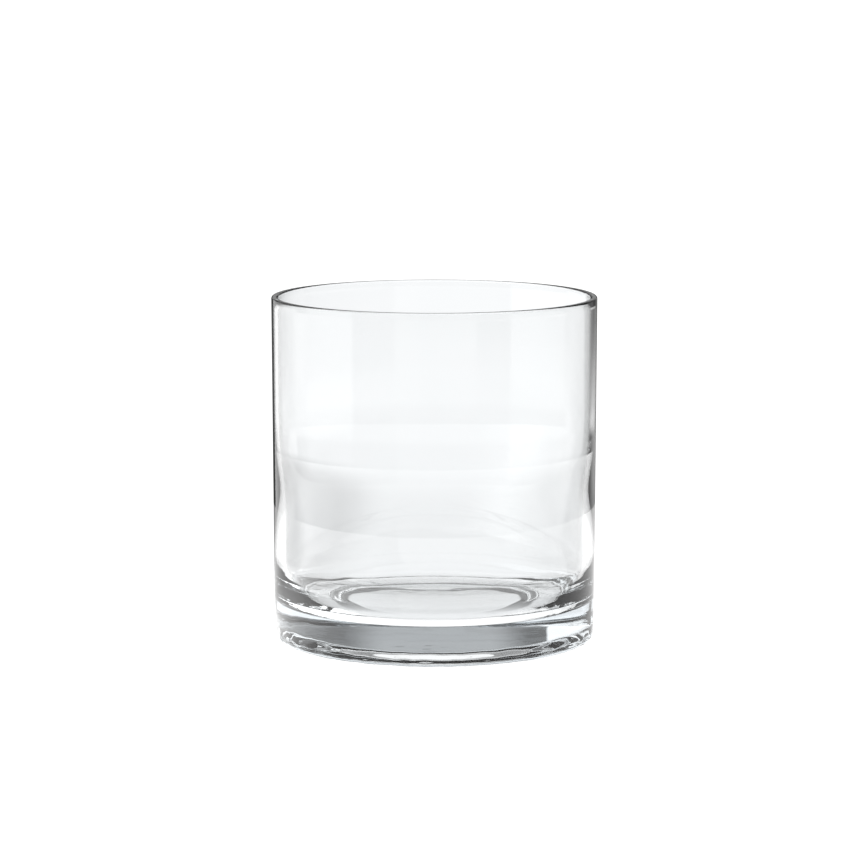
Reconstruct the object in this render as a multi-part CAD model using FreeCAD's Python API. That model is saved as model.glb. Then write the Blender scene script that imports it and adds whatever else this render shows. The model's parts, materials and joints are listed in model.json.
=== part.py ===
"""A florist's clear glass cylinder vase, one STEP file per piece, in millimetres.

The frame has +Z up. The origin is on the vase's axis, in the plane that it stands on.
The vase is a glass tube fused, end to end, to a heavy cast base. The tube's wall thickens
downwards, and the base carries it on, round a steep corner, into a flat floor. The base's
underside is hollowed a little, so that the vase stands on a broad ring.
"""
import FreeCAD, Part
import os

V = FreeCAD.Vector
AXIS_START = V(0, 0, 0)
AXIS_DIRECTION = V(0, 0, 1)

# The whole vase
HEIGHT = 120.0  # from the table to the top of the rim
RIM_RADIUS = 56.5  # outside, at the rim
FOOT_INSET = 0.5  # how far the outside draws in from the rim down to the table

# The tube
RIM_WALL = 2.2  # how thick the glass is at the mouth
ROOT_WALL = 3.8  # how thick it is where the tube meets the base
MOUTH_DEPTH = 40.0  # the stretch below the rim where the mouth is a true cylinder
RIM_ROUND = 0.8  # both edges of the rim, melted round by the flame

# The base
FLOOR_THICKNESS = 12.8  # from the table to the floor
CORNER_HEIGHT = 17.0  # how far up the corner between floor and wall reaches
CORNER_WIDTH = 7.6  # how far in from the wall it reaches
CORNER_FULLNESS = 0.6  # how full its curve is: 0.55 is an ellipse, 1 is almost square
FOOT_ROUND = 2.0  # the outside edge at the table
RING_WIDTH = 14.0  # the flat ring that the vase stands on
HOLLOW_SLOPE = 8.0  # how far inwards from the ring the hollow takes to rise
HOLLOW_DEPTH = 2.6  # how high it is there
HOLLOW_CROWN = 0.3  # how much higher its middle is

# What follows from them
FOOT_RADIUS = RIM_RADIUS - FOOT_INSET
MOUTH_RADIUS = RIM_RADIUS - RIM_WALL
SHOULDER_HEIGHT = HEIGHT - RIM_ROUND
SEAM_HEIGHT = FLOOR_THICKNESS + CORNER_HEIGHT


def point(radius, height):
    """A point of a profile, in the plane that is turned about the axis."""
    return V(radius, 0, height)


def line(start, end):
    """A straight stretch of a profile."""
    return Part.LineSegment(start, end).toShape()


def curve(*poles):
    """A smooth stretch of a profile, drawn towards its poles."""
    bezier = Part.BezierCurve()
    bezier.setPoles(list(poles))
    return bezier.toShape()


def quarter(start, end, centre):
    """A quarter circle from start to end about centre."""
    radius = (start - centre).Length
    middle = centre + ((start - centre) + (end - centre)).normalize() * radius
    return Part.Arc(start, middle, end).toShape()


def ease(start, end, upright):
    """A smooth S from start to end that leaves and arrives upright, or else level."""
    half = (end - start) / 2
    step = V(0, 0, half.z) if upright else V(half.x, 0, 0)
    return curve(start, start + step, end - step, end)


def corner(start, end):
    """A full quarter that leaves start level and arrives at end upright."""
    reach = (end - start) * CORNER_FULLNESS
    return curve(start, start + V(reach.x, 0, 0), end - V(0, 0, reach.z), end)


def outer_radius(height):
    """The outside radius of the vase, which grows evenly from the table to the rim."""
    return FOOT_RADIUS + FOOT_INSET * height / SHOULDER_HEIGHT


def turned(edges):
    """The solid that a closed profile makes when it is turned about the axis."""
    face = Part.Face(Part.Wire(edges))
    solid = face.revolve(AXIS_START, AXIS_DIRECTION, 360)
    return Part.Solid(solid.Shells[0])


# Where the tube's inside and the base's inside meet, and where their outsides meet
SEAM_OUTSIDE = point(outer_radius(SEAM_HEIGHT), SEAM_HEIGHT)
SEAM_INSIDE = point(SEAM_OUTSIDE.x - ROOT_WALL, SEAM_HEIGHT)


def wall_tube():
    """The tube: a true mouth, then a wall that thickens down to the seam."""
    outside_top = point(RIM_RADIUS, SHOULDER_HEIGHT)
    rim_outside = point(RIM_RADIUS - RIM_ROUND, HEIGHT)
    rim_inside = point(MOUTH_RADIUS + RIM_ROUND, HEIGHT)
    inside_top = point(MOUTH_RADIUS, SHOULDER_HEIGHT)
    mouth_foot = point(MOUTH_RADIUS, HEIGHT - MOUTH_DEPTH)
    return turned([
        line(SEAM_INSIDE, SEAM_OUTSIDE),
        line(SEAM_OUTSIDE, outside_top),
        quarter(outside_top, rim_outside, point(rim_outside.x, SHOULDER_HEIGHT)),
        line(rim_outside, rim_inside),
        quarter(rim_inside, inside_top, point(rim_inside.x, SHOULDER_HEIGHT)),
        line(inside_top, mouth_foot),
        ease(mouth_foot, SEAM_INSIDE, upright=True),
    ])


def base_disc():
    """The cast base: a floor with a steep corner above, a ring and a hollow below."""
    floor_middle = point(0, FLOOR_THICKNESS)
    floor_edge = point(SEAM_INSIDE.x - CORNER_WIDTH, FLOOR_THICKNESS)
    foot_side = point(outer_radius(FOOT_ROUND), FOOT_ROUND)
    foot_edge = point(foot_side.x - FOOT_ROUND, 0)
    ring_inside = point(foot_edge.x - RING_WIDTH, 0)
    hollow_edge = point(ring_inside.x - HOLLOW_SLOPE, HOLLOW_DEPTH)
    hollow_middle = point(0, HOLLOW_DEPTH + HOLLOW_CROWN)
    return turned([
        line(floor_middle, floor_edge),
        corner(floor_edge, SEAM_INSIDE),
        line(SEAM_INSIDE, SEAM_OUTSIDE),
        line(SEAM_OUTSIDE, foot_side),
        quarter(foot_side, foot_edge, point(foot_edge.x, FOOT_ROUND)),
        line(foot_edge, ring_inside),
        ease(ring_inside, hollow_edge, upright=False),
        ease(hollow_edge, hollow_middle, upright=False),
        line(hollow_middle, floor_middle),
    ])


PIECES = {
    "wall_tube": wall_tube(),
    "base_disc": base_disc(),
}

os.makedirs("parts", exist_ok=True)
for name, shape in PIECES.items():
    shape.exportStep(f"parts/{name}.step")
    print(f"{name}: {shape.Volume / 1000:.1f} cm3, valid {shape.isValid()}")
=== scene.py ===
# %% [markdown]
# # A florist's clear glass cylinder vase
#
# The real vase is one piece of glass: a drawn tube, fused to a heavy cast base. Clear glass
# has hardly any look of its own. All that shows is what it bends and mirrors: the pale table,
# the backdrop and the studio. So this lesson spends its care on three things. They are the
# cross-section of the glass, the small unevenness of its surfaces, and a studio that gives
# the glass something to mirror.
#
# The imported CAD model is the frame. It gives the sizes, and nothing here changes them.

# %% Load the frame
import json
import math

import bpy
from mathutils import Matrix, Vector
from mathutils.geometry import interpolate_bezier


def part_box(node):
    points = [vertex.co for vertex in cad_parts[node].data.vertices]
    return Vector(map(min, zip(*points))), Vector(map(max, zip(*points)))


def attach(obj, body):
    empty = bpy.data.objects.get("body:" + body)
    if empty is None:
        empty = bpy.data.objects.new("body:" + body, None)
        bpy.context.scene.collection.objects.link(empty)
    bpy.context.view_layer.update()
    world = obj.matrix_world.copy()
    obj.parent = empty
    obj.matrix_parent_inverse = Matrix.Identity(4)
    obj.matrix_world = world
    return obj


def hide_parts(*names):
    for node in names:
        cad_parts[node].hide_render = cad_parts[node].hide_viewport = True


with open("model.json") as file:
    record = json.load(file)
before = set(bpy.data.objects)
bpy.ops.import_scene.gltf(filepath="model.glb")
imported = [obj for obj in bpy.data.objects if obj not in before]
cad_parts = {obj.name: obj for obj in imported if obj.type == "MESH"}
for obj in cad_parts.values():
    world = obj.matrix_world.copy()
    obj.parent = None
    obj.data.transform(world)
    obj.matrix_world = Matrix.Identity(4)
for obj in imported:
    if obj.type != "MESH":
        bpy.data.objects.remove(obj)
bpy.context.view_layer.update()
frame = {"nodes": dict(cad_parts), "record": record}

# %% [markdown]
# ## Sizes that the CAD settles
#
# A cross-section of the vase is drawn from about ten sizes. They could be typed in again,
# but then a change to the CAD would leave this model behind. So they are measured on the
# CAD pieces instead: the tube gives the rim and the seam, and the base gives the floor,
# the ring that the vase stands on, and the hollow inside that ring. The mouth's bore is
# written in the record. Two can't be read off so easily, and are typed in again: how wide the
# hollow's slope is, and how full the corner inside is.

# %% Measure the tube and the base
MILLIMETRE = 0.001
SLACK = 0.02 * MILLIMETRE  # how far a corner may be from the height that is asked for


def corners(node):
    """The corners of a CAD piece as (radius, height) pairs, in metres."""
    return [(v.co.xy.length, v.co.z) for v in frame["nodes"][node].data.vertices]


def radii_at(node, height):
    """The smallest and the largest radius of a CAD piece at one height."""
    found = [radius for radius, z in corners(node) if abs(z - height) < SLACK]
    return min(found), max(found)


tube_low, tube_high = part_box("wall_tube")
rim_radius = tube_high.x
height = tube_high.z
seam_height = tube_low.z
seam_inside, seam_outside = radii_at("wall_tube", seam_height)

mouth = next(m for m in frame["record"]["mounts"] if m["name"] == "mouth")
mouth_radius = mouth["dims"]["r_mm"] * MILLIMETRE
mouth_low = mouth["pos_m"][2] - mouth["dims"]["length_mm"] * MILLIMETRE / 2


def felt_height(radius, side):
    """The height of the base's glass at a radius, felt by a ray from below (-1) or above (1)."""
    start = Vector((radius, 0, side * height))
    return frame["nodes"]["base_disc"].ray_cast(start, Vector((0, 0, -side)))[1].z


HOLLOW_SLOPE = 8 * MILLIMETRE  # how far inwards from the ring the hollow takes to rise

ring_inside, ring_outside = radii_at("base_disc", 0)
hollow_radius = ring_inside - HOLLOW_SLOPE
hollow_height, crown_height = felt_height(hollow_radius, -1), felt_height(MILLIMETRE, -1)
floor_height = felt_height(MILLIMETRE, 1)
floor_radius = radii_at("base_disc", floor_height)[1]
rim_round = radii_at("wall_tube", height)[0] - mouth_radius
print(f"rim radius {rim_radius:.5f}, height {height:.5f}, seam at {seam_height:.5f}")
print(f"floor at {floor_height:.5f}, hollow {hollow_height:.5f} to {crown_height:.5f} deep")
print(f"ring {ring_inside:.4f} to {ring_outside:.4f}, floor's edge {floor_radius:.4f}")

# %% [markdown]
# ## The cross-section
#
# A cylinder vase is the same all the way round. It could be made from a cylinder primitive,
# with its top face inset and pushed down, and its edges bevelled. That gives a good tube, but
# the large round corner inside and the soft hollow below need curves that a bevel doesn't
# draw. Glass is unforgiving here, because it bends the light at every point of the curve.
# So the section is drawn first, as a glassmaker draws it for the mould, and then turned.
#
# Four kinds of stretch are enough: a straight line, a quarter circle, a fuller quarter for the
# corner inside, and an S. Each helper gives the points of its stretch after the start, so that
# stretches can be chained.

# %% Four kinds of stretch
def line(start, end, steps):
    """Evenly spaced points on a straight stretch, from start to end."""
    return [start.lerp(end, i / steps) for i in range(1, steps + 1)]


def quarter(start, end, steps, upright):
    """A quarter circle that leaves start upright and arrives level, or the other way."""
    points = []
    for i in range(1, steps + 1):
        turn = math.pi / 2 * i / steps
        out, along = 1 - math.cos(turn), math.sin(turn)
        share = Vector((out, along)) if upright else Vector((along, out))
        points.append(start + (end - start) * share)
    return points


def corner(start, end, steps, fullness):
    """A quarter that leaves start upright and arrives level, and fills its corner the more
    the nearer its fullness is to 1."""
    reach = (end - start) * fullness
    poles = start, start + Vector((0, reach.y)), end - Vector((reach.x, 0)), end
    return interpolate_bezier(*poles, steps + 1)[1:]


def ease(start, end, steps, upright):
    """An S that leaves and arrives upright, or else leaves and arrives level."""
    points = []
    for i in range(1, steps + 1):
        u = i / steps
        along, across = 1.5 * u * (1 - u) + u ** 3, u * u * (3 - 2 * u)
        share = Vector((across, along)) if upright else Vector((along, across))
        points.append(start + (end - start) * share)
    return points


# %% [markdown]
# The section runs from the axis below to the axis above, round the outside. Its first point is
# the middle of the hollow, which is slightly crowned: its middle is a little higher than the
# edge of its slope. From there it passes over the standing ring, round the foot, up the
# outside, over the rim, down the inside and round the corner to the middle of the floor. The
# steps are short where the glass curves, and longer where it is straight.

# %% The points of the section
CORNER_FULLNESS = 0.6  # 0.55 would be an ellipse, and 1 almost a square
taper = (rim_radius - seam_outside) / (height - rim_round - seam_height)
foot_radius = seam_outside - taper * seam_height
foot_round = (foot_radius - ring_outside) / (1 - taper)

hollow_middle = Vector((0, crown_height))
hollow_edge = Vector((hollow_radius, hollow_height))
ring_start, ring_end = Vector((ring_inside, 0)), Vector((ring_outside, 0))
foot_top = Vector((foot_radius + taper * foot_round, foot_round))
shoulder = Vector((rim_radius, height - rim_round))
rim_outer = Vector((rim_radius - rim_round, height))
rim_inner = Vector((mouth_radius + rim_round, height))
mouth_top = Vector((mouth_radius, height - rim_round))
mouth_foot = Vector((mouth_radius, mouth_low))
seam = Vector((seam_inside, seam_height))
floor_edge, floor_middle = Vector((floor_radius, floor_height)), Vector((0, floor_height))

section = [
    hollow_middle,
    *ease(hollow_middle, hollow_edge, 20, upright=False),
    *ease(hollow_edge, ring_start, 24, upright=False),
    *line(ring_start, ring_end, 8),
    *quarter(ring_end, foot_top, 10, upright=False),
    *line(foot_top, shoulder, 40),
    *quarter(shoulder, rim_outer, 8, upright=True),
    *line(rim_outer, rim_inner, 2),
    *quarter(rim_inner, mouth_top, 8, upright=False),
    *line(mouth_top, mouth_foot, 14),
    *ease(mouth_foot, seam, 40, upright=True),
    *corner(seam, floor_edge, 36, CORNER_FULLNESS),
    *line(floor_edge, floor_middle, 12),
]
section_length = sum((there - here).length for here, there in zip(section, section[1:]))
print(f"the section has {len(section)} points and is {section_length:.4f} m long")

# %% [markdown]
# ## Turning the section
#
# The section becomes a mesh in edit mode. A small plane is merged to one corner, which is
# moved to the first point, and then extruded from point to point. Spin turns the whole line
# about the axis. Its ends lie on the axis, where spin leaves one corner for every step, so the
# doubles are merged, which closes both poles. Then the normals are made to point outwards.

# %% Draw and spin
TURNS = 256  # steps round the vase
DOUBLES = MILLIMETRE / 1000  # corners nearer than this are one


def only(thing):
    """Leave nothing selected but this object."""
    bpy.ops.object.select_all(action="DESELECT")
    thing.select_set(True)
    bpy.context.view_layer.objects.active = thing


bpy.ops.object.select_all(action="DESELECT")
bpy.ops.mesh.primitive_plane_add(size=MILLIMETRE)
vase = bpy.context.object
vase.name = vase.data.name = "glass_vase"
bpy.ops.object.mode_set(mode="EDIT")
bpy.ops.mesh.select_all(action="SELECT")
bpy.ops.mesh.merge(type="CENTER")
bpy.ops.transform.translate(value=(section[0].x, 0, section[0].y))
for here, there in zip(section, section[1:]):
    step = there - here
    bpy.ops.mesh.extrude_vertices_move(TRANSFORM_OT_translate={"value": (step.x, 0, step.y)})
bpy.ops.mesh.select_all(action="SELECT")
bpy.ops.mesh.spin(steps=TURNS, angle=2 * math.pi, center=(0, 0, 0), axis=(0, 0, 1))
bpy.ops.mesh.select_all(action="SELECT")
bpy.ops.mesh.remove_doubles(threshold=DOUBLES)
bpy.ops.mesh.normals_make_consistent(inside=False)
bpy.ops.object.mode_set(mode="OBJECT")
bpy.ops.object.shade_smooth()
print(f"{vase.name}: {len(vase.data.vertices)} corners, {len(vase.data.polygons)} faces")

# %% [markdown]
# ## The unevenness of real glass
#
# A tube that is drawn and a base that is cast are never quite true. The tube comes nearest:
# its waves are a few thousandths of a millimetre deep. The floor and the hollow carry waves of
# a few hundredths, and so does the corner inside, as level ripples. The foot is the roughest.
# Its waves are short and up to 0.4 mm deep, and they lift the standing ring here and there.
# Through so much clear glass they all show, because they make every bent line tremble.
#
# A bump in the material would only tilt the shading. These waves are made in the mesh, with
# Displace modifiers that push inwards only, so the vase never grows. A vertex group keeps each
# kind of wave to its own part of the glass.

# %% How waves are made
def weigh(name, share):
    """A vertex group whose weight at each corner is share(radius, height)."""
    group = vase.vertex_groups.new(name=name)
    for spot in vase.data.vertices:
        weight = share(spot.co.xy.length, spot.co.z)
        if weight > 0:
            group.add([spot.index], weight, "REPLACE")
    return name


def waves(name, group, size, depth):
    """Push the glass inwards by up to depth, in soft clouds of about this size."""
    texture = bpy.data.textures.new(name, "CLOUDS")
    texture.noise_scale = size
    texture.noise_depth = 1
    displace = vase.modifiers.new(name, "DISPLACE")
    displace.texture = texture
    displace.texture_coords = "LOCAL"
    displace.vertex_group = group
    displace.mid_level = 1
    displace.strength = depth
    only(vase)
    bpy.ops.object.modifier_apply(modifier=name)
    bpy.data.textures.remove(texture)


def ramp(value, low, high):
    """0 below low, 1 above high, and a straight rise between them."""
    return min(1, max(0, (value - low) / (high - low)))


# %% Where each kind of wave is
UNDER_FADE = 4 * MILLIMETRE  # how far inside the ring the hollow's waves are at full depth
RING_FADE = 2 * MILLIMETRE  # how far inside the ring the foot's waves begin
FOOT_REACH, FOOT_FADE = 10 * MILLIMETRE, 6 * MILLIMETRE  # how high they end, and over what height
RIPPLE_REACH = 8 * MILLIMETRE  # how far above the seam the ripples end
RIPPLE_START = MILLIMETRE  # how far above the floor they are at full depth
RIPPLE_STEP = 2.9 * MILLIMETRE  # from one ripple to the next
middle_height = (hollow_height + floor_height) / 2  # between the underside and the floor


def wall_share(radius, z):
    """The tube, fading out below the seam."""
    return ramp(z, seam_height / 2, seam_height)


def under_share(radius, z):
    """The hollow."""
    return ramp(ring_inside - radius, 0, UNDER_FADE) if z < middle_height else 0


def floor_share(radius, z):
    """The floor and the corner inside, fading out up to the seam."""
    if z <= middle_height or radius >= seam_inside:
        return 0
    return ramp(seam_height - z, 0, seam_height / 2)


def foot_share(radius, z):
    """The standing ring, and the outside just above it."""
    if z < foot_round:
        return ramp(radius, ring_inside - RING_FADE, ring_inside)
    return ramp(FOOT_REACH - z, 0, FOOT_FADE) if radius > seam_inside else 0


def ripple_share(radius, z):
    """Level ripples on the corner inside, and a little way up the tube."""
    if z <= floor_height or radius >= seam_inside + MILLIMETRE:
        return 0
    start = ramp(z, floor_height, floor_height + RIPPLE_START)
    end = ramp(seam_height + RIPPLE_REACH - z, 0, RIPPLE_REACH)
    return start * end * (0.5 + 0.5 * math.sin(2 * math.pi * z / RIPPLE_STEP))


# %% Make the waves
wall_group = weigh("wall", wall_share)
under_group = weigh("underside", under_share)
floor_group = weigh("floor", floor_share)
waves("wall_waves", wall_group, 60 * MILLIMETRE, 0.004 * MILLIMETRE)
waves("floor_waves", floor_group, 22 * MILLIMETRE, 0.03 * MILLIMETRE)
waves("mould_waves", under_group, 9 * MILLIMETRE, 0.05 * MILLIMETRE)
ring_group = weigh("ring", foot_share)
waves("ring_waves", ring_group, 5 * MILLIMETRE, 0.4 * MILLIMETRE)
ripple_group = weigh("ripples", ripple_share)
waves("chill_ripples", ripple_group, 16 * MILLIMETRE, 0.04 * MILLIMETRE)
lowest = min(spot.co.z for spot in vase.data.vertices)
print(f"the waves are in the mesh, and its lowest point is at {lowest / MILLIMETRE:.3f} mm")

# %% [markdown]
# ## The glass
#
# Soda-lime glass lets nearly all light through and mirrors a little at each surface. A long
# path through it takes out some red, so the thick base is faintly blue-green while the thin
# wall is clear. The tint is therefore an absorption inside the glass, and not a colour on it.
#
# Three small things keep it from looking computed. The flame leaves a faint veil on the
# surface, a bump about a thousandth of a millimetre deep. The standing ring is scuffed where
# it has slid on tables, so it is slightly rough, in fine patches. And the clear colour itself
# has a trace of cloud. All are patterns on the object's own coordinates.

# %% Helpers for materials
def node(tree, kind, inputs=(), **settings):
    """Add a shader node, set what it holds, and fill or link its inputs."""
    made = tree.nodes.new(kind)
    for name, value in settings.items():
        setattr(made, name, value)
    for key, value in dict(inputs).items():
        if isinstance(value, bpy.types.NodeSocket):
            tree.links.new(value, made.inputs[key])
        else:
            made.inputs[key].default_value = value
    return made


def fade(tree, value, stops):
    """A colour ramp from (place, grey) pairs."""
    made = node(tree, "ShaderNodeValToRGB", {"Fac": value})
    elements = made.color_ramp.elements
    while len(elements) < len(stops):
        elements.new(1)
    for element, (place, grey) in zip(elements, stops):
        element.position = place
        element.color = (grey, grey, grey, 1)
    return made.outputs["Color"]


def blend(tree, share, first, second):
    """The first colour where share is 0, and the second where it is 1."""
    made = node(tree, "ShaderNodeMix", {"Factor": share, 6: first, 7: second}, data_type="RGBA")
    return made.outputs[2]


def times(tree, first, second):
    """The product of two values."""
    return node(tree, "ShaderNodeMath", {0: first, 1: second}, operation="MULTIPLY").outputs["Value"]


# %% The clear glass
CLOUD_SCALE, SCUFF_SCALE, VEIL_SCALE = 40, 900, 90  # how fine each pattern is, per metre
CLOUDED, CLEAR = (0.985, 0.992, 0.990, 1), (1, 1, 1, 1)  # the colour where it is cloudy and clear
SCUFF_ROUGHNESS = 0.22
SCUFF_FADE = 0.1 * MILLIMETRE, 0.4 * MILLIMETRE  # the heights over which the scuffs end
VEIL_DEPTH = MILLIMETRE / 1000
REFRACTION = 1.52  # of soda-lime glass
TAKEN_OUT, DENSITY = (0.80, 0.90, 0.97, 1), 5  # the tint of a long path, and how soon it shows


def clear_glass():
    """Clear soda-lime glass, fire-polished, with a scuffed foot."""
    material = bpy.data.materials.new("clear_glass")
    material.use_nodes = True
    tree = material.node_tree
    tree.nodes.clear()
    place = node(tree, "ShaderNodeTexCoord").outputs["Object"]
    up = node(tree, "ShaderNodeSeparateXYZ", {"Vector": place}).outputs["Z"]

    def cloudy(scale, detail):
        """A soft random pattern, from 0 to 1."""
        made = node(tree, "ShaderNodeTexNoise", {"Vector": place, "Scale": scale, "Detail": detail})
        return made.outputs["Fac"]

    colour = blend(tree, cloudy(CLOUD_SCALE, 2), CLOUDED, CLEAR)

    patches = fade(tree, cloudy(SCUFF_SCALE, 3), [(0.45, 0), (0.62, 1)])
    low = node(tree, "ShaderNodeMapRange", {
        "Value": up, "From Min": SCUFF_FADE[0], "From Max": SCUFF_FADE[1],
        "To Min": SCUFF_ROUGHNESS, "To Max": 0}).outputs["Result"]
    rough = times(tree, low, patches)

    bump = node(tree, "ShaderNodeBump", {
        "Height": cloudy(VEIL_SCALE, 0), "Strength": 1, "Distance": VEIL_DEPTH}).outputs["Normal"]

    surface = node(tree, "ShaderNodeBsdfPrincipled", {
        "Base Color": colour, "Roughness": rough, "IOR": REFRACTION, "Transmission Weight": 1,
        "Normal": bump})
    inside = node(tree, "ShaderNodeVolumeAbsorption", {"Color": TAKEN_OUT, "Density": DENSITY})
    output = node(tree, "ShaderNodeOutputMaterial")
    tree.links.new(surface.outputs["BSDF"], output.inputs["Surface"])
    tree.links.new(inside.outputs["Volume"], output.inputs["Volume"])
    return material


vase.data.materials.clear()
vase.data.materials.append(clear_glass())
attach(vase, "root")
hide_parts("wall_tube", "base_disc")
print("the vase is glass, and stands for both CAD pieces")

# %% [markdown]
# ## The table
# What shows through the glass has painted light and shade as well: it is darker at the left and right, as
# painted shade where the light falls off, and brighter towards the far edge, as painted light.
#
# The vase stands on a plain pale table top. It is a round one, so that its edge is the same
# distance away on every side. The edge matters: the glass mirrors the bright table in front of
# it and the dimmer room beyond, and the line between them crosses the front of the vase.
#
# The top is lit so well that it shows no shadow, so it is made with an emission. It isn't a
# physical one, because it has three sets of greys: the white that the camera sees, what shows
# through the glass, and what the glass mirrors. A plain top and lamps could be used, but then
# no flag or card could be placed without it showing through the glass.
#
# An emission takes no shadow. Under the hollow a dark ring is therefore painted into what
# shows through the glass, dark at the back and fading to the front. It stands in for the
# shadow there, and makes most of the dark ring that is seen in the vase's floor.
#
# From below, the top is clear, so that the underside of the vase can be looked at.

# %% Helpers for light
def passed(tree, seen, through, mirrored):
    """One colour for light that comes straight to the camera, one for light through the glass,
    and one for light that was mirrored on its way."""
    path = node(tree, "ShaderNodeLightPath").outputs
    turned = node(tree, "ShaderNodeMath", {0: path["Glossy Depth"], 1: 0.5}, operation="GREATER_THAN")
    glass = blend(tree, turned.outputs["Value"], through, mirrored)
    return blend(tree, path["Is Camera Ray"], glass, seen)


def rise(tree, value, low, high):
    """0 where value is below low, 1 above high, and a soft rise between them. It falls if low
    is above high."""
    return node(tree, "ShaderNodeMapRange", {"Value": value, "From Min": low, "From Max": high},
                interpolation_type="SMOOTHSTEP").outputs["Result"]


def window(tree, value, *edges):
    """1 between the two inner edges, 0 outside the two outer ones, with soft slopes."""
    first, second, third, fourth = edges
    return times(tree, rise(tree, value, first, second), rise(tree, value, fourth, third))


def bearings(*degrees):
    """Bearings about the vase in radians: 0 is straight behind it, and right is positive."""
    return [math.radians(angle) for angle in degrees]


def grey(level, blue=0.0):
    """A grey, with a little more blue and a little less red if it is cool."""
    return (level * (1 - blue), level, level * (1 + blue), 1)


# %% The greys of the table
CAMERA_WHITE = 1.2
TABLE_RADIUS = 0.296
TABLE_DROP = 0.1 * MILLIMETRE  # how far the top lies below the vase, so that they don't touch
TINT = 0.012  # how cool the table and the backdrop are

# What shows through the glass: the middle, the two sides in painted shade, the far edge in painted light, and
# the painted shadow under the hollow
T_MID, T_LEFT_SHADE, T_RIGHT_SHADE, T_FAR_LIGHT, T_HOLLOW = 0.92, 0.64, 0.84, 1.02, 0.05
# Across X, where the painted shade of the sides begins and where it is full. Along Y, where the painted light
# of the far edge begins.
LEFT_SHADE_EDGES, RIGHT_SHADE_EDGES = (-0.022, -0.052), (0.030, 0.050)  # X, from the middle's grey to the side's
FAR_LIGHT_START = 0.215  # Y, where the far edge's grey begins
HOLLOW_RING = 0.0308, 0.0322, 0.0376, 0.039  # the radii of the dark ring's soft edges
HOLLOW_FADE = -0.034, -0.006  # Y, from where the ring doesn't show to where it is dark

# What the glass mirrors: the front, a bright stretch on the left, the back, and a dark stretch behind
R_FRONT, R_LEFT, R_BACK, R_BEHIND = 1.1, 2.4, 1.2, 0.35
LEFT_STRETCH = bearings(-155, -100, -50, -30)
BACK_START = 0.0, 0.08  # Y
BEHIND_STRETCH = bearings(-35, -25, 12, 34)
BEHIND_START = 0.05, 0.10  # Y


# %% The table
def pale_top():
    """A plain pale table top, bright and even to the camera. What shows through the glass has painted shade at
    its sides, painted light at its far edge and a painted shadow under the hollow.
    """
    material = bpy.data.materials.new("pale_top")
    material.use_nodes = True
    tree = material.node_tree
    tree.nodes.clear()
    place = node(tree, "ShaderNodeTexCoord").outputs["Object"]
    along = node(tree, "ShaderNodeSeparateXYZ", {"Vector": place}).outputs
    turn = node(tree, "ShaderNodeMath", {0: along["X"], 1: along["Y"]}, operation="ARCTAN2").outputs["Value"]
    flat = node(tree, "ShaderNodeVectorMath", {0: place, 1: (1, 1, 0)}, operation="MULTIPLY").outputs["Vector"]
    out = node(tree, "ShaderNodeVectorMath", {0: flat}, operation="LENGTH").outputs["Value"]

    through = grey(T_MID, TINT)
    # Painted shade: darker towards the left and right, where the light falls off. Painted light: brighter
    # towards the far edge.
    through = blend(tree, rise(tree, along["X"], *LEFT_SHADE_EDGES), through, grey(T_LEFT_SHADE, TINT))
    through = blend(tree, rise(tree, along["X"], *RIGHT_SHADE_EDGES), through, grey(T_RIGHT_SHADE, TINT))
    through = blend(tree, rise(tree, along["Y"], FAR_LIGHT_START, TABLE_RADIUS), through, grey(T_FAR_LIGHT, TINT))
    # A painted shadow: the dark ring under the hollow, darkest at the back and fading to the front.
    hollow = window(tree, out, *HOLLOW_RING)
    rear = times(tree, hollow, rise(tree, along["Y"], *HOLLOW_FADE))
    through = blend(tree, rear, through, grey(T_HOLLOW, TINT))

    mirrored = grey(R_FRONT)
    mirrored = blend(tree, window(tree, turn, *LEFT_STRETCH), mirrored, grey(R_LEFT))
    mirrored = blend(tree, rise(tree, along["Y"], *BACK_START), mirrored, grey(R_BACK))
    behind = times(tree, window(tree, turn, *BEHIND_STRETCH), rise(tree, along["Y"], *BEHIND_START))
    mirrored = blend(tree, behind, mirrored, grey(R_BEHIND))

    light = passed(tree, grey(CAMERA_WHITE), through, mirrored)
    glow = node(tree, "ShaderNodeEmission", {"Color": light, "Strength": 1}).outputs["Emission"]
    clear = node(tree, "ShaderNodeBsdfTransparent").outputs["BSDF"]
    below = node(tree, "ShaderNodeNewGeometry").outputs["Backfacing"]
    surface = node(tree, "ShaderNodeMixShader", {"Fac": below, 1: glow, 2: clear}).outputs["Shader"]
    output = node(tree, "ShaderNodeOutputMaterial")
    tree.links.new(surface, output.inputs["Surface"])
    return material


bpy.ops.object.select_all(action="DESELECT")
bpy.ops.mesh.primitive_circle_add(vertices=128, radius=TABLE_RADIUS, fill_type="NGON",
                                  location=(0, 0, -TABLE_DROP))
table = bpy.context.object
table.name = table.data.name = "table_top"
table.data.materials.append(pale_top())
print(f"{table.name}: {TABLE_RADIUS} m in radius")

# %% [markdown]
# ## The studio
#
# A studio for glass is a white backdrop with cards round it: dark ones give the glass its
# dark edges, and bright ones its streaks. They could be planes and lamps, but each would also
# show through the glass. So they are drawn on the world, and only light that the glass has
# mirrored meets them. The camera and light through the glass meet plain white.
#
# A card lies between two bearings about the vase and two heights above the level, in degrees.
# A bearing of 0 is straight behind the vase, and right is positive. Later cards cover earlier
# ones.

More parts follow.
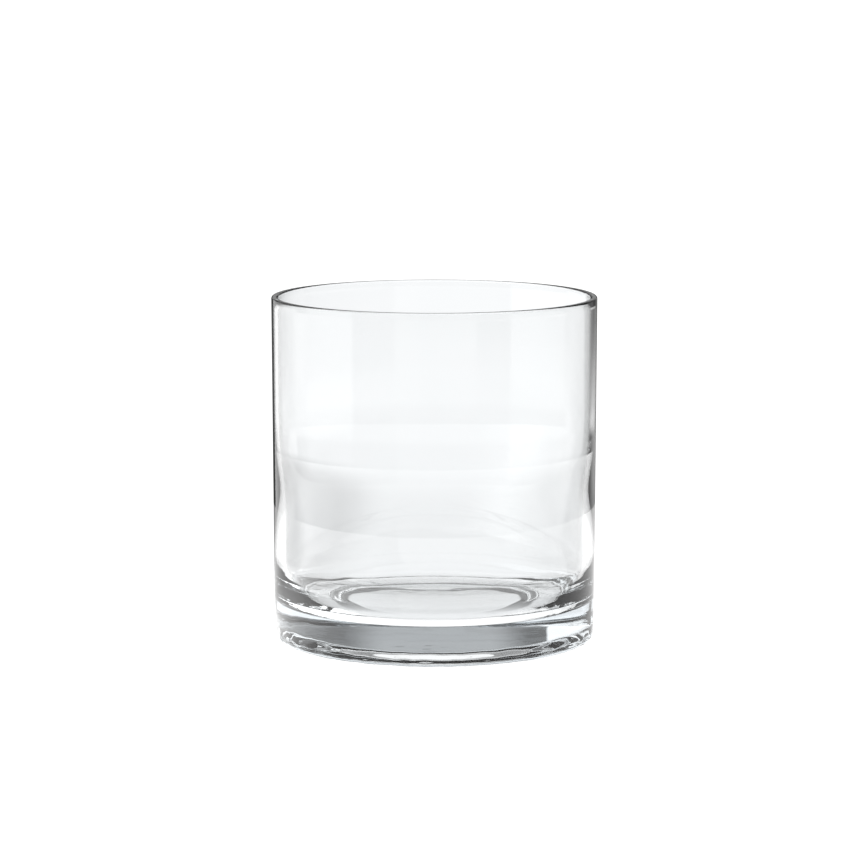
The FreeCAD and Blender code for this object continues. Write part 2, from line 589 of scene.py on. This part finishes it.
# %% The cards
T_WORLD = 1.02  # what shows through the glass
GROUND, ROOM = 0.0, 0.75  # what the glass mirrors of the world, far below the level and above that
GROUND_EDGE = -10.7, -8.9  # the heights between which one turns into the other
CARDS = [  # grey, left, right, low, high, and how soft the edges are, or else 2
    (0.5, None, None, -6.4, 7, 0.6),  # a dim band all round
    (1.0, None, None, 7, None, 4),  # white above it
    (0.15, -34, 150, -7, 45),  # dark, from behind round the right
    (0.43, -20, 18, -7, 45, 14),  # its paler middle
    (1.15, -85, -34, 7, 60),  # bright, high on the left
    (1.35, -120, -40, -9.0, 7, 3),  # bright, low on the left
    (1.10, -62, -21, -14, 7, 4),  # bright, low and further back
    (0.40, 30, 66, -14, 7, 10),  # grey, low on the right
    (0.08, -21, 12, -14, 5),  # black, low and straight behind
]


# %% The studio
def studio():
    """A white backdrop, and the cards that the glass mirrors."""
    world = bpy.data.worlds.new("studio")
    world.use_nodes = True
    tree = world.node_tree
    tree.nodes.clear()
    direction = node(tree, "ShaderNodeTexCoord").outputs["Generated"]
    parts = node(tree, "ShaderNodeSeparateXYZ", {"Vector": direction}).outputs
    turn = node(tree, "ShaderNodeMath", {0: parts["X"], 1: parts["Y"]}, operation="ARCTAN2").outputs["Value"]

    def up(degrees):
        """How far up a direction points, from -1 to 1."""
        return math.sin(math.radians(degrees))

    def card(under, colour, left, right, low, high, soft=2.0):
        """A flat card with soft edges, over what is under it."""
        share = 1.0
        for value, edge, way, measure in ((turn, left, 1, math.radians), (turn, right, -1, math.radians),
                                          (parts["Z"], low, 1, up), (parts["Z"], high, -1, up)):
            if edge is None:
                continue
            inside = rise(tree, value, measure(edge - way * soft / 2), measure(edge + way * soft / 2))
            share = times(tree, share, inside)
        return blend(tree, share, under, colour)

    ground_end = rise(tree, parts["Z"], *(up(angle) for angle in GROUND_EDGE))
    room = blend(tree, ground_end, grey(GROUND), grey(ROOM))
    for level, *place in CARDS:
        room = card(room, grey(level), *place)
    light = passed(tree, grey(CAMERA_WHITE), grey(T_WORLD, TINT), room)
    background = node(tree, "ShaderNodeBackground", {"Color": light, "Strength": 1})
    output = node(tree, "ShaderNodeOutputWorld")
    tree.links.new(background.outputs["Background"], output.inputs["Surface"])
    return world


bpy.context.scene.world = studio()
bpy.context.scene.view_settings.view_transform = "Standard"
print(f"the studio has {len(CARDS)} cards")

# %% [markdown]
# ## The camera
#
# A long lens from a little above keeps the vase's sides upright, and opens its mouth into a
# thin ellipse. What glass bends and mirrors changes with every step to the side, so the
# distance and the height matter more here than for a solid object.
#
# The camera could be turned to put the vase in its place in the picture, but that would tilt
# the sides. It looks at the middle of the vase instead, and a small shift of the lens moves
# the picture.

# %% The camera
SENSOR = 36.0
LENS = 143.67
DISTANCE = 1.206
ELEVATION = 8.85  # degrees above the level
SHIFT_X, SHIFT_Y = -0.004971, 0.039422  # shares of the picture's width
CLIP_NEAR, CLIP_FAR = 0.01, 10

camera_data = bpy.data.cameras.new("camera")
camera_data.sensor_width = SENSOR
camera_data.lens = LENS
camera_data.shift_x, camera_data.shift_y = SHIFT_X, SHIFT_Y
camera_data.clip_start, camera_data.clip_end = CLIP_NEAR, CLIP_FAR
camera = bpy.data.objects.new("camera", camera_data)
bpy.context.scene.collection.objects.link(camera)
tilt = math.radians(ELEVATION)
back = Vector((0, -math.cos(tilt), math.sin(tilt)))
camera.location = Vector((0, 0, height / 2)) + back * DISTANCE
camera.rotation_euler = (-back).to_track_quat("-Z", "Y").to_matrix().to_4x4().to_euler()
bpy.context.scene.camera = camera
print(f"the camera is {DISTANCE} m away and {ELEVATION} degrees up, with a {LENS} mm lens")
